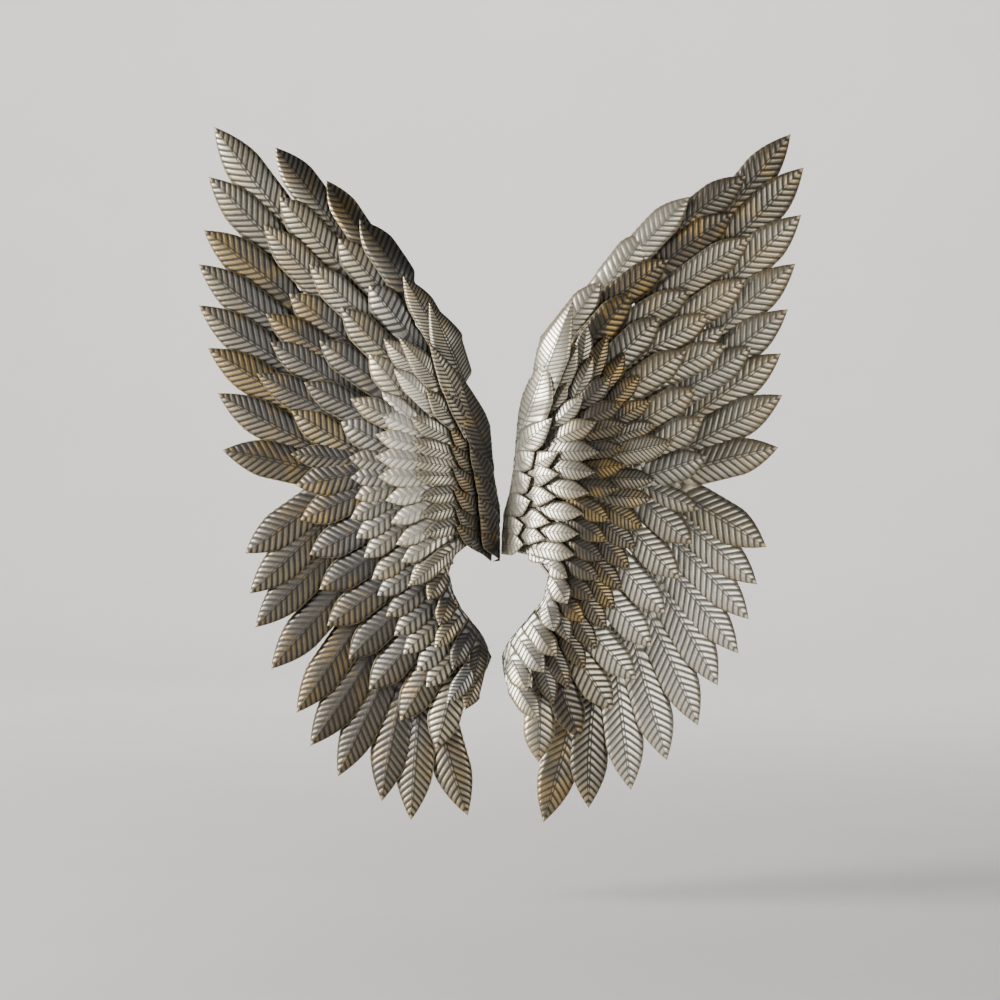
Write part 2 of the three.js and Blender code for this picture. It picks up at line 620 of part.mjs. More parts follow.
// The plate with the hanger hole, which lies at the height of the origin
function hangerPlate(start) {
  const top = Math.max(start.z + LEG / 2, HANG_HOLE / 2) + PLATE_MARGIN;
  const bottom = Math.min(start.z - LEG / 2, -HANG_HOLE / 2) - PLATE_MARGIN;
  const width = Math.max(LEG, HANG_HOLE) + 2 * PLATE_MARGIN;
  const plate = new THREE.BoxGeometry(width, PLATE_THICKNESS, top - bottom);
  plate.translate(start.x, -PLATE_THICKNESS / 2, (top + bottom) / 2);
  const hole = new THREE.CylinderGeometry(HANG_HOLE / 2, HANG_HOLE / 2, 3 * PLATE_THICKNESS, 16);
  hole.translate(start.x, 0, 0);
  return fromGeometry(plate).subtract(fromGeometry(hole));
}

function mesh(name, shape, look) {
  const { vertProperties, triVerts } = shape.getMesh();
  const geometry = new THREE.BufferGeometry();
  geometry.setAttribute("position", new THREE.BufferAttribute(vertProperties, 3));
  geometry.setIndex(new THREE.BufferAttribute(triVerts, 1));
  const part = new THREE.Mesh(geometry, new THREE.MeshStandardMaterial(look));
  part.name = name;
  return part;
}

// Depth from one row of leaves to the next
function layerStep(row) {
  const widest = Math.max(...row.leaves.map((leaf) => leaf.wide)) * row.width;
  return (FOLD_SHARE + ROLL_SHARE / 2) * widest + SHEET + LAYER_GAP;
}

// Depth from the back row of a wing to its front row, which lies at the seam
function stackDepth(rows) {
  return rows.slice(0, -1).reduce((sum, row) => sum + layerStep(row), 0);
}

const wings = new THREE.Group();
const seamDepth = Math.max(stackDepth(RIGHT_ROWS), stackDepth(LEFT_ROWS));

[
  { side: 1, hand: "right", rows: RIGHT_ROWS, edge: RIGHT_EDGE },
  { side: -1, hand: "left", rows: LEFT_ROWS, edge: LEFT_EDGE },
].forEach(
  ({ side, hand, rows, edge }) => {
    const edgeAt = innerEdge(edge);
    let layerDepth = seamDepth - stackDepth(rows);
    const laid = rows.map((row) => {
      const plan = layOut(row, edgeAt, layerDepth);
      const blades = plan.leaves.map((leaf) => {
        return leafSolid(side, row, leaf, plan.spots, edgeAt, layerDepth);
      });
      const run = plan.run.map((spot) => place(side, spot.x, spot.y, spot.z));
      const carrier = rod(run, ROD, plan.stretches);
      const room = rod(run, ROD + 2 * CLEARANCE, plan.stretches);
      wings.add(mesh(`${row.name}_leaves_${hand}`, fuse([carrier, ...blades]), GOLD));
      layerDepth += layerStep(row);
      return { ...plan, room };
    });
    const frame = laid.reduce((rest, row) => rest.subtract(row.room), backFrame(side, laid));
    wings.add(mesh(`back_frame_${hand}`, frame, DARK_STEEL));
  },
);

export default wings;
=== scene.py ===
# %% [markdown]
# Angel wings for a wall: two fans of stamped metal leaves, hung side by side with a narrow
# seam between them. A maker would press each leaf from thin sheet, solder rows of them to
# bent rods, and brush gold and silver over a dark coat. The imported model has every leaf as
# a plain folded blade. This scene makes each leaf again in its place, with its midrib, its
# pressed veins and its worn finish, with some light and shade painted into it, and keeps
# the hidden back frames as they are.

# %% Load the imported model
import math
import random

import bmesh
import bpy
from mathutils import Matrix, Vector


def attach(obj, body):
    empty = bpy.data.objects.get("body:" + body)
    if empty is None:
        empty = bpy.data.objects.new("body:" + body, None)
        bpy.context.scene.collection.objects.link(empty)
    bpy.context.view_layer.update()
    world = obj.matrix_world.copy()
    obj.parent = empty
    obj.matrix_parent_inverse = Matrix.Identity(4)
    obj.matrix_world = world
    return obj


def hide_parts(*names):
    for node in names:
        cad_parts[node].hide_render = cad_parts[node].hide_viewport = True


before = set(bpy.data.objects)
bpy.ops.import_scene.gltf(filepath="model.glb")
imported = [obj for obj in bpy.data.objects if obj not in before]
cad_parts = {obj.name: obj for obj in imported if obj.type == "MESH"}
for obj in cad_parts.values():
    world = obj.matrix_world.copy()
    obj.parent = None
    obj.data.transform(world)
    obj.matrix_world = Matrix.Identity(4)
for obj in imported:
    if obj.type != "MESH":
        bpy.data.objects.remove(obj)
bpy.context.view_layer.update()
MM = 0.001

# %% [markdown]
# The sizes are the real ones, in millimetres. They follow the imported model, because each new
# leaf has to lie where its plain blade lies, and only some small leaves at the inner edges are
# set a little otherwise. The shares say how the sheet is formed: FOLD is the height of the
# raised midrib and ROLL the height by which one edge lies over its neighbour, both by the
# width of the leaf.

# %% Sizes of the wings and of each kind of leaf
WING_HEIGHT = 900
WING_REACH = 0.438 * WING_HEIGHT
HANG_SHARE = 0.709
SEAM_GAP = 0.3
WALL_GAP = 14
SHEET = 1.0
LAYER_GAP = 0.0022 * WING_HEIGHT
ROD = 0.0045 * WING_HEIGHT
RIDGE_RISE, RIDGE_SPAN = 0.02 * WING_REACH, 0.838 * WING_REACH
BULGE_RISE, BULGE_SPAN = 0.043 * WING_REACH, 0.233 * WING_REACH
INNER_DROP, INNER_SPAN = 0.1675 * WING_REACH, 0.254 * WING_REACH
FOLD, ROLL, TIP_LIFT = 0.1, 0.1, 0.0013 * WING_HEIGHT
print("reach", round(WING_REACH, 1), "mm")

# %% [markdown]
# A wing is a stack of rows, the primaries at the back and the small leaves at the inner edge
# in front. Each row is a short table with a line for each leaf that sets a turn in the
# row, and the leaves between follow a smooth curve. The columns are the leaf's number,
# its tip as shares of the wing's reach and height, the angle it points above outward,
# its length and width as shares of the row's leaf, and the way it overlaps its
# neighbour. One table per row keeps the hand-made differences between the two wings.
#
# Each kind of leaf has a line of its own: length and width as shares of the wing's height,
# the pitch of its veins in millimetres, how far they slant, how high they are pressed, how
# far the leaf runs on behind its rod, and how bluntly it closes to its point. A row adds
# how wide its leaves are at the rod and where along the leaf the widest place, the belly, is.

# %% Tables with named columns
def table(columns, *lines):
    """Rows with the names of their columns. A missing last column keeps the value above it."""
    rows, last = [], {}
    for line in lines:
        last = {**last, **dict(zip(columns, line))}
        rows.append(last)
    return rows


KINDS = table(
    ("kind", "length", "width", "pitch", "slant", "rise", "spare", "point"),
    ("primary", 0.189, 0.0555, 7.8, 0.95, 0.14, 0.28, 1.7),
    ("secondary", 0.158, 0.048, 7.2, 0.95, 0.14, 0.22, 1.7),
    ("tertial", 0.142, 0.0445, 6.6, 0.9, 0.13, 0.34, 1.7),
    ("middle", 0.12, 0.0455, 6.2, 0.85, 0.12, 0.42, 1.6),
    ("covert", 0.0855, 0.03, 4.2, 0.7, 0.08, 0.3, 1.5),
    ("small", 0.06, 0.028, 4.0, 0.65, 0.08, 0.25, 1.3),
    ("edge", 0.108, 0.051, 4.8, 0.6, 0.06, 0.25, 1.3),
)
LEAF = ("at", "out", "up", "aim", "long", "wide", "roll")


def row(name, kind, root, belly, *leaves):
    """A row of leaves of one kind, with its lengths in millimetres."""
    size = next(k for k in KINDS if k["kind"] == kind)
    length, width = size["length"] * WING_HEIGHT, size["width"] * WING_HEIGHT
    size = {**size, "length": length, "width": width}
    return {**size, "name": name, "root": root, "belly": belly, "leaves": table(LEAF, *leaves)}


print("kinds of leaf", len(KINDS))


# %% Rows of the right wing, from the back to the front
RIGHT_ROWS = [
    row(
        "primary", "primary", 0.55, 0.64,
        (0, 0.954, 0.991, 48, 1, 0.92, 1),
        (1, 0.999, 0.944, 45.5, 1, 1),
        (3, 0.974, 0.806, 43),
        (5, 0.927, 0.676, 36),
        (6, 0.932, 0.616, 30),
        (7, 0.918, 0.54, 16, 0.95, 1, 0),
        (8, 0.878, 0.396, -35, 0.9, 1.05, -1),
        (9, 0.848, 0.342, -40, 0.95, 0.97),
        (11, 0.786, 0.242, -50.5, 1, 0.95),
        (12, 0.717, 0.196, -61, 1, 1),
        (13, 0.652, 0.138, -66),
        (15, 0.43, 0.045, -84),
        (17, 0.141, 0, -103),
    ),
    row(
        "secondary", "secondary", 0.8, 0.67,
        (0, 0.806, 0.93, 35, 1, 1, 1),
        (1, 0.762, 0.876, 36),
        (2, 0.825, 0.843, 36),
        (3, 0.808, 0.783, 32),
        (4, 0.74, 0.714, 35, 0.75, 0.7),
        (5, 0.828, 0.686, 37, 1, 1),
    ),
    row(
        "tertial", "tertial", 0.8, 0.67,
        (0, 0.618, 0.899, 49, 1, 1, 1),
        (1, 0.479, 0.848, 47, 0.85, 1.07),
        (2, 0.55, 0.809, 36.5, 1, 1),
        (3, 0.625, 0.765, 29),
        (4, 0.69, 0.732, 32, 1, 0.96),
        (5, 0.743, 0.687, 30, 1, 1),
    ),
    row(
        "middle", "middle", 0.8, 0.66,
        (0, 0.328, 0.777, 45, 1, 0.9, 1),
        (1, 0.427, 0.761, 51, 1, 1),
        (2, 0.524, 0.727, 43),
        (3, 0.609, 0.679, 32),
        (4, 0.641, 0.625, 33),
        (5, 0.667, 0.583, 31),
        (6, 0.677, 0.527, 25, 1, 1, 0),
        (7, 0.653, 0.45, -30, 0.8, 0.7, -1),
        (8, 0.628, 0.401, -44, 1, 1),
        (10, 0.539, 0.301, -48),
        (12, 0.443, 0.206, -47),
        (13, 0.366, 0.163, -56),
        (14, 0.258, 0.122, -74),
        (15, 0.123, 0.089, -88),
    ),
    row(
        "outer_covert", "covert", 0.8, 0.64,
        (0, 0.283, 0.716, 80, 1, 0.85, 1),
        (1, 0.348, 0.7, 72, 1, 0.9),
        (2, 0.406, 0.676, 58),
        (3, 0.458, 0.644, 48, 1, 1),
        (4, 0.492, 0.607, 35),
        (5, 0.511, 0.572, 15, 1, 0.95),
        (6, 0.564, 0.547, 12, 1.2, 1.3, 0),
        (7, 0.507, 0.493, -2, 1, 1, -1),
        (8, 0.498, 0.466, 5),
        (9, 0.466, 0.424, -35, 1, 1.1),
        (11, 0.423, 0.366, -42),
        (12, 0.398, 0.335, -50, 1, 1),
        (14, 0.347, 0.278, -55),
        (16, 0.277, 0.221, -60),
        (17, 0.222, 0.193, -62),
        (18, 0.173, 0.172, -70),
    ),
    row(
        "middle_covert", "covert", 0.7, 0.64,
        (0, 0.301, 0.669, 62, 0.9, 0.85, 1),
        (1, 0.361, 0.642, 45, 0.9, 1),
        (2, 0.397, 0.602, 22),
        (3, 0.411, 0.572, 12),
        (4, 0.402, 0.54, 8),
        (5, 0.406, 0.514, 10, 0.9, 1, 0),
        (6, 0.386, 0.48, -5, 0.9, 1, -1),
        (7, 0.357, 0.434, -35),
        (9, 0.339, 0.379, -28),
        (11, 0.307, 0.322, -33),
        (12, 0.274, 0.29, -34),
        (13, 0.223, 0.261, -69),
    ),
    row(
        "inner_covert", "covert", 0.85, 0.64,
        (0, 0.251, 0.684, 65, 0.9, 0.95, 1),
        (1, 0.219, 0.632, 55, 0.9, 0.75),
        (2, 0.269, 0.612, 48, 0.9, 0.9),
        (3, 0.311, 0.575, 23, 0.95, 1.05),
        (4, 0.321, 0.532, -3, 0.95, 1, 0),
        (5, 0.308, 0.503, -12, 0.9, 0.95, -1),
        (7, 0.268, 0.445, -9),
        (9, 0.241, 0.386, -4, 0.85),
        (10, 0.218, 0.353, -42, 0.6, 0.9),
        (11, 0.217, 0.316, -50, 0.6, 1),
        (12, 0.173, 0.277, -58, 0.6),
        (13, 0.184, 0.241, -45, 0.78, 1.1),
        (14, 0.142, 0.218, -50, 0.78),
        (15, 0.087, 0.192, -64, 0.8),
        (16, 0.125, 0.151, -50, 0.8),
    ),
    row(
        "small_covert", "small", 0.85, 0.46,
        (0, 0.189, 0.532, 26, 0.85, 1.1, 1),
        (1, 0.189, 0.501, -5, 0.85, 1.15, 0),
        (2, 0.18, 0.468, -4, 0.85, 1.15, -1),
        (3, 0.16, 0.432, -11, 0.8, 1.1),
        (4, 0.146, 0.409, 0, 0.7, 1),
    ),
    row(
        "edge", "edge", 0.85, 0.43,
        (0, 0.235, 0.749, 68, 1.13, 1, -1),
        (1, 0.15, 0.666, 71, 1.12, 1.08),
        (2, 0.169, 0.581, 38, 0.62, 0.74, 1),
        (3, 0.111, 0.532, 22, 0.4, 0.64),
        (4, 0.1, 0.496, 12, 0.4, 0.7),
        (5, 0.097, 0.463, 10),
        (6, 0.074, 0.429, 10, 0.36, 0.7),
        (7, 0.074, 0.4, 8, 0.32, 0.66),
    ),
]
print("right wing", sum(r["leaves"][-1]["at"] + 1 for r in RIGHT_ROWS), "leaves")

# %% Rows of the left wing, from the back to the front
LEFT_ROWS = [
    row(
        "primary", "primary", 0.55, 0.62,
        (0, 0.94, 1, 50, 1, 1, 1),
        (1, 0.96, 0.929, 46),
        (2, 0.978, 0.853, 40),
        (3, 0.995, 0.804, 36),
        (4, 0.995, 0.745, 33),
        (6, 0.933, 0.618, 30, 1, 0.97),
        (7, 0.917, 0.536, 16, 1, 1, 0),
        (8, 0.842, 0.387, -41, 0.9, 1, -1),
        (9, 0.828, 0.329, -44, 0.95),
        (10, 0.809, 0.28, -45, 1),
        (11, 0.757, 0.22, -48),
        (12, 0.673, 0.157, -55, 1, 0.97),
        (13, 0.628, 0.109, -57, 1, 1),
        (14, 0.536, 0.065, -64, 1, 0.94),
        (15, 0.391, 0.03, -79, 1, 1),
        (16, 0.295, 0.003, -86),
        (17, 0.108, 0.011, -104),
    ),
    row(
        "secondary", "secondary", 0.8, 0.67,
        (0, 0.738, 0.97, 52, 1, 1, 1),
        (1, 0.724, 0.899, 47),
        (2, 0.777, 0.859, 46, 1.1),
        (3, 0.695, 0.761, 41, 0.95),
        (4, 0.773, 0.732, 34, 1.1),
        (5, 0.756, 0.691, 32, 1),
        (6, 0.802, 0.646, 32, 1.15),
        (7, 0.686, 0.592, 32, 0.85, 0.95),
        (8, 0.69, 0.53, 10, 0.8, 0.75, 0),
        (9, 0.672, 0.485, -21, 0.9, 1, -1),
        (10, 0.658, 0.435, -23, 0.85),
        (12, 0.595, 0.335, -35),
        (13, 0.57, 0.283, -35),
        (14, 0.499, 0.235, -43, 0.85, 0.96),
        (15, 0.432, 0.191, -50, 0.85, 1),
        (16, 0.329, 0.147, -59),
        (17, 0.211, 0.107, -73),
    ),
    row(
        "tertial", "tertial", 0.8, 0.67,
        (0, 0.57, 0.923, 55, 0.95, 0.9, 1),
        (1, 0.529, 0.838, 47, 0.95, 1),
        (2, 0.626, 0.802, 40, 1),
        (3, 0.594, 0.693, 40),
        (4, 0.645, 0.633, 32),
        (5, 0.523, 0.576, 31, 0.75, 0.95),
        (6, 0.496, 0.525, 8, 0.6, 0.7, 0),
        (7, 0.49, 0.496, 0, 0.58, 0.7, -1),
        (8, 0.476, 0.467, -15, 0.55, 0.7),
        (9, 0.491, 0.437, -32, 0.62),
        (11, 0.447, 0.381, -38),
        (12, 0.421, 0.35, -38),
        (13, 0.403, 0.327, -37),
        (14, 0.375, 0.297, -38),
        (16, 0.318, 0.243, -42),
        (17, 0.274, 0.218, -50),
        (18, 0.243, 0.196, -47),
    ),
    row(
        "middle", "middle", 0.8, 0.66,
        (0, 0.461, 0.865, 50, 1, 1, 1),
        (1, 0.429, 0.771, 52, 1, 1),
        (2, 0.522, 0.74, 48, 1),
        (3, 0.43, 0.673, 47, 0.9, 0.9),
        (4, 0.491, 0.609, 38, 1, 0.8),
        (5, 0.388, 0.619, 36, 0.8, 0.65),
        (6, 0.405, 0.59, 26, 0.8, 0.67),
        (8, 0.41, 0.526, 8, 0.8, 0.68, 0),
        (9, 0.4, 0.497, 0, 0.75, 0.68, -1),
        (10, 0.376, 0.463, -16, 0.7, 0.62),
        (12, 0.341, 0.4, -30, 0.7, 0.58),
        (13, 0.324, 0.375, -34, 0.7, 0.6),
        (14, 0.297, 0.344, -38, 0.65),
    ),
    row(
        "inner_covert", "covert", 0.85, 0.64,
        (0, 0.318, 0.783, 53, 1.5, 1.3, 1),
        (1, 0.381, 0.694, 50, 1.25, 1.2),
        (2, 0.348, 0.651, 42, 1.1, 1.05),
        (3, 0.292, 0.582, 30, 1, 1),
        (5, 0.292, 0.521, 10, 1, 0.9, 0),
        (6, 0.285, 0.499, 0, 1, 0.9, -1),
        (7, 0.26, 0.468, -9, 0.95),
        (8, 0.26, 0.442, -15),
        (9, 0.249, 0.416, -20, 0.85),
        (10, 0.301, 0.341, -38, 1),
        (11, 0.236, 0.322, -56, 0.65),
        (12, 0.2, 0.285, -62, 0.6),
        (13, 0.214, 0.253, -43, 0.75, 0.85),
        (14, 0.157, 0.223, -62, 0.8, 0.9),
        (15, 0.09, 0.203, -75, 0.75),
        (16, 0.175, 0.174, -58, 1.05),
        (17, 0.117, 0.165, -58, 0.75),
    ),
    row(
        "small_covert", "small", 0.85, 0.46,
        (0, 0.233, 0.745, 58, 1.85, 1.7, 1),
        (1, 0.332, 0.697, 57, 1.45, 1.3),
        (2, 0.241, 0.621, 50, 1.1, 1.2),
        (3, 0.164, 0.567, 38, 1.1, 1.05),
        (4, 0.162, 0.543, 44, 1, 0.9),
        (5, 0.158, 0.513, 46, 1, 0.88),
        (6, 0.155, 0.481, 46, 1),
        (7, 0.148, 0.455, 48, 1),
        (8, 0.148, 0.43, 50, 0.98),
        (9, 0.108, 0.412, 25, 0.62, 0.85),
    ),
    row(
        "edge", "edge", 0.85, 0.43,
        (0, 0.233, 0.688, 62, 1, 0.64, 1),
        (1, 0.194, 0.63, 60, 0.85, 0.5),
        (2, 0.142, 0.651, 66, 1.15, 0.75),
        (3, 0.101, 0.543, 56, 0.66, 0.52),
        (4, 0.088, 0.504, 58, 0.62, 0.54),
        (5, 0.074, 0.47, 60, 0.56, 0.5),
        (6, 0.066, 0.443, 54, 0.46, 0.5),
        (7, 0.063, 0.417, 42, 0.36, 0.52),
    ),
]
print("left wing", sum(r["leaves"][-1]["at"] + 1 for r in LEFT_ROWS), "leaves")

# %% [markdown]
# The wings aren't flat. Each one rises steeply from its inner edge to a rounded ridge and
# then falls slowly to the outer tips, like a shallow shell. A formula gives the depth at any
# place, so leaves, rods and rows all follow one surface. The inner edge is a line of its own:
# the seam where both wings meet, and below it the two sides of a heart.

# %% The bulge and the inner edges
RIDGE = table(
    ("up", "out"),
    (0, 0.1), (0.15, 0.13), (0.25, 0.18), (0.33, 0.245), (0.42, 0.275), (0.52, 0.285),
    (0.62, 0.29), (0.72, 0.27), (0.8, 0.4), (0.9, 0.66), (1, 0.9),
)
RIGHT_EDGE = table(
    ("up", "out"),
    (0, 0), (0.185, 0.026), (0.224, 0.008), (0.242, 0.005), (0.261, 0.026), (0.296, 0.092),
    (0.322, 0.14), (0.359, 0.158), (0.373, 0.153), (0.376, 0), (0.442, 0.008), (0.471, 0.028),
    (0.507, 0.042), (0.545, 0.048), (0.59, 0.057), (0.615, 0.071), (0.633, 0.088),
    (0.644, 0.105), (0.673, 0.117), (0.709, 0.134),
)
LEFT_EDGE = table(
    ("up", "out"),
    (0, 0), (0.185, 0.068), (0.219, 0.049), (0.24, 0.03), (0.269, 0.058), (0.285, 0.087),
    (0.308, 0.129), (0.33, 0.153), (0.361, 0.169), (0.372, 0.163), (0.376, 0.003),
    (0.46, 0.003), (0.49, 0.019), (0.583, 0.035), (0.65, 0.094), (0.693, 0.124),
)


def clamp(value, low=0.0, high=1.0):
    return max(low, min(high, value))


def ease(value):
    """Smooth step from 0 to 1."""
    t = clamp(value)
    return t * t * (3 - 2 * t)


def along(rows, key, column, place):
    """Value of a column at a place along a table, on a smooth curve through its rows."""
    last = len(rows) - 1
    i = next((k for k, r in enumerate(rows) if r[key] >= place), 0)
    i = min(last - 1, max(0, i - 1))

    def slope(k):
        a, b = rows[max(0, k - 1)], rows[min(last, k + 1)]
        return (b[column] - a[column]) / (b[key] - a[key])

    a, b = rows[i], rows[i + 1]
    span = b[key] - a[key]
    t = clamp((place - a[key]) / span)
    h = ease(t)
    rise = t * (1 - t) * (1 - t) * slope(i) - t * t * (1 - t) * slope(i + 1)
    return a[column] * (1 - h) + b[column] * h + rise * span


def inner_edge(edge, up):
    """How far out the inner edge of a wing lies at a height."""
    share = up / WING_HEIGHT
    for a, b in zip(edge, edge[1:]):
        if share <= b["up"]:
            t = clamp((share - a["up"]) / (b["up"] - a["up"]))
            return (a["out"] + t * (b["out"] - a["out"])) * WING_REACH + SEAM_GAP / 2
    return edge[-1]["out"] * WING_REACH + SEAM_GAP / 2


def shell(out, up):
    """How far the back layer stands off the wall."""
    away = out - along(RIDGE, "up", "out", up / WING_HEIGHT) * WING_REACH
    if away < 0:
        fall = min(1.25, -away / INNER_SPAN)
        return WALL_GAP + RIDGE_RISE + BULGE_RISE - INNER_DROP * fall * fall
    slow = 0.5 + 0.5 * math.cos(math.pi * min(1, away / RIDGE_SPAN))
    return WALL_GAP + RIDGE_RISE * slow + BULGE_RISE * math.exp(-((away / BULGE_SPAN) ** 2))


def place(side, out, up, depth):
    """A place on the wing, in metres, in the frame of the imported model."""
    return Vector((side * out, -depth, up - HANG_SHARE * WING_HEIGHT)) * MM


print("ridge depth", round(shell(0.285 * WING_REACH, 0.5 * WING_HEIGHT), 1), "mm")

# %% [markdown]
# The tips of the leaves were chosen first. A root lies one leaf length back from its tip,
# and the roots of a row are eased into a smooth line, because on the real wings they are
# soldered to one bent rod. The line runs a little past the first and the last root, so that
# those two leaves also know which way their rod runs.

# %% Lay out a row
def layer_step(r):
    """Depth from one row of leaves to the next."""
    widest = max(leaf["wide"] for leaf in r["leaves"]) * r["width"]
    return (FOLD + ROLL / 2) * widest + SHEET + LAYER_GAP


def stack_depth(rows):
    return sum(layer_step(r) for r in rows[:-1])


def lay_out(r, edge, layer):
    """Every leaf of a row, with its tip, root and sizes, and the run of the rod."""
    leaves = []
    for n in range(r["leaves"][-1]["at"] + 1):
        value = {c: along(r["leaves"], "at", c, n) for c in LEAF[1:]}
        aim = math.radians(value["aim"])
        length = value["long"] * r["length"]
        tip = Vector((value["out"] * WING_REACH, value["up"] * WING_HEIGHT))
        root = tip - length * Vector((math.cos(aim), math.sin(aim)))
        leaves.append(dict(tip=tip, root=root, width=value["wide"] * r["width"], roll=value["roll"]))
    roots = [leaf["root"] for leaf in leaves]
    count = len(roots)
    eased = [
        (roots[max(0, n - 1)] + 2 * roots[n] + roots[min(count - 1, n + 1)]) / 4
        for n in range(count)
    ]

    def beyond(end, following):
        spare = r["root"] * leaves[end]["width"] / 2 + 1
        return eased[end] + (eased[end] - eased[following]).normalized() * spare

    run = []
    for spot in [beyond(0, 1), *eased, beyond(-1, -2)]:
        out = max(spot.x, inner_edge(edge, spot.y) + ROD * math.sqrt(0.5))
        run.append(Vector((out, spot.y, shell(out, spot.y) + layer - SHEET / 2)))
    for n, leaf in enumerate(leaves):
        leaf["root"] = run[n + 1]
        leaf["rod"] = (run[n + 2] - run[n]).normalized()
    return leaves, run


print("depth of the stack", round(stack_depth(RIGHT_ROWS), 1), round(stack_depth(LEFT_ROWS), 1), "mm")

# %% [markdown]
# Seen from the front, a leaf is a little narrower at its root, widest at its belly and
# pointed at its tip. Seen from its tip, it is a low roof that is highest along the midrib
# and lies flat on the rod. Two short formulas give both shapes, so every kind of leaf is made
# the same way. ROOT_FILL is the share of the missing width that a root gets back, so that
# the roots of a row close up behind the row in front.

# %% Outline and fold of a leaf
ROOT_FILL = 0.9
THINNEST = 0.006
TIP_FOLD_LOSS = 0.7


def outline(s, r):
    """Half width along a leaf, as a share of its widest half."""
    if s < r["belly"]:
        wide = r["root"] + ROOT_FILL * (1 - r["root"])
        return wide + (1 - wide) * math.sin(0.5 * math.pi * clamp(s / r["belly"]))
    t = (s - r["belly"]) / (1 - r["belly"])
    return max(THINNEST, 1 - t ** r["point"])


def fold(s, r):
    """Height of the midrib along a leaf, as a share of its highest."""
    if s < r["belly"]:
        return math.sin(0.5 * math.pi * clamp(s / r["belly"]))
    t = (s - r["belly"]) / (1 - r["belly"])
    return 1 - TIP_FOLD_LOSS * t * t


covert = RIGHT_ROWS[4]
print("covert half width", [round(outline(s, covert), 2) for s in (0, 0.3, 0.64, 0.9, 1)])

# %% [markdown]
# The brushing isn't even on the real wings, and here the light and shade on them are painted
# in as well. The inner leaves of the right wing face the key light and are painted almost
# white with pale grooves, and the leaves just past its ridge face away from it and are painted
# dark bronze. On the left wing the ridge itself is painted the lightest place, and the leaves
# beside the seam face away from the light and are painted dark. So each leaf gets three
# amounts from its place beside the ridge: light for silver, brightened into painted light, and
# below zero painted shade; gold for bronze, partly the real bronze and partly painted shade;
# and fill for paint that also reached the grooves, on the lit leaves painted light as well. A
# second step paints shade on the lower leaves, but painted light on the lower outer leaves of
# the right wing, and on the left wing it keeps the painted bright band away from the top and
# the bottom.

# %% Where each paint was brushed, and where light and shade are painted
PAINTS = ("light", "gold", "fill")
# light is painted light, and below zero painted shade; gold is partly real bronze and partly painted
# shade; fill on the lit leaves is painted light
BRUSHING_AND_PAINTED_LIGHT = {
    1: table(
        ("away", "light", "gold", "fill"),
        (-0.3, 1.1, 0.1, 0.24), (-0.1, 1.1, 0.2, 0.2), (0, 1, 0.4, 0.14), (0.08, 0.1, 1, 0.04),
        (0.16, 0.05, 1, 0.02), (0.3, 0.55, 0.5, 0.12), (0.7, 0.8, 0.45, 0.16),
    ),
    -1: table(
        ("away", "light", "gold", "fill"),
        (-0.3, -0.2, 0.8, 0.05), (-0.12, 0.1, 0.6, 0), (0, 1, 0.2, 0.12), (0.07, 1.6, 0.05, 0.26),
        (0.13, 1.4, 0.1, 0.22), (0.25, 0.2, 0.4, 0), (0.7, 0, 0.5, 0),
    ),
}
LOW_BELOW, LOW_SPAN, LOW_REACH = 0.44, 0.16, 0.35
LOW_LIGHT = {1: (-0.4, 0.9), -1: (-1.1, -0.7)}
HIGH_ABOVE, HIGH_SPAN, HIGH_MOST = 0.62, 0.12, 0.35


def brushing_and_painted_light(side, out, up):
    """How much of each paint a leaf got, painted light and shade included, by its place beside the
    ridge and its height.
    """
    share = up / WING_HEIGHT
    away = out / WING_REACH - along(RIDGE, "up", "out", share)
    paint = {name: along(BRUSHING_AND_PAINTED_LIGHT[side], "away", name, away) for name in PAINTS}

    # Painted shade on the lower leaves; on the right wing the lower outer leaves get painted light
    # instead.
    low = ease((LOW_BELOW - share) / LOW_SPAN)
    near, far = LOW_LIGHT[side]
    paint["light"] += low * (near + (far - near) * ease(away / LOW_REACH))
    # On the left wing the painted light is held down near the top, and the fill at the top and the
    # bottom.
    if side < 0:
        high = ease((share - HIGH_ABOVE) / HIGH_SPAN)
        paint["light"] -= high * max(0, paint["light"] - HIGH_MOST)
        paint["fill"] *= (1 - high) * (1 - low)
    return paint


spot = (0.2 * WING_REACH, 0.5 * WING_HEIGHT)
print("right", {k: round(v, 2) for k, v in brushing_and_painted_light(1, *spot).items()})
print("left", {k: round(v, 2) for k, v in brushing_and_painted_light(-1, *spot).items()})

# %% [markdown]
# A leaf starts as a flat grid. Its cross lines are then slanted towards the tip, so that each
# fourth line is a sharp groove between two round pressed veins, and the grid is narrowed to
# the leaf's outline. The roof, the thin bead on the midrib, the veins, the overlap with the
# neighbour and a small lift of the tip are heights on that grid. Modelling the veins, and not
# only painting them, lets the light catch every rib as it does on pressed sheet. The root
# runs on past the rod and covers it. Small random bends and curls keep the leaves from
# looking cast, and the thickness comes from one Solidify modifier on the whole row.

# %% Shape one leaf
COLUMNS = 10
COLUMN_CROWDING = 1.6  # more columns near the midrib
LINES_PER_VEIN = 4
FEWEST_VEINS = 7
SLANT_ROUNDS = 3
MOST_SLANT = 0.36
NOTCH = 0.015  # how far a groove cuts into the rim, by half the width
BEAD, BEAD_SHARE = 0.5, 0.05  # height in millimetres, and width by half the leaf
GRIP_TURN, GRIP_SHARE = 0.7, 0.3  # near its root a leaf lies along its rod
SEAT_SHARE = 0.4  # the length over which a leaf rises from flat to its full fold
ROOF_POWER = 1.25
RIM_FLATTENING = 0.4
BEND = 0.02  # sideways, by the length
SWELLS, CURLS = (0.85, 1.15), (-0.5, 1.2)  # share of the fold, millimetres at the tip
chance = random.Random(11)


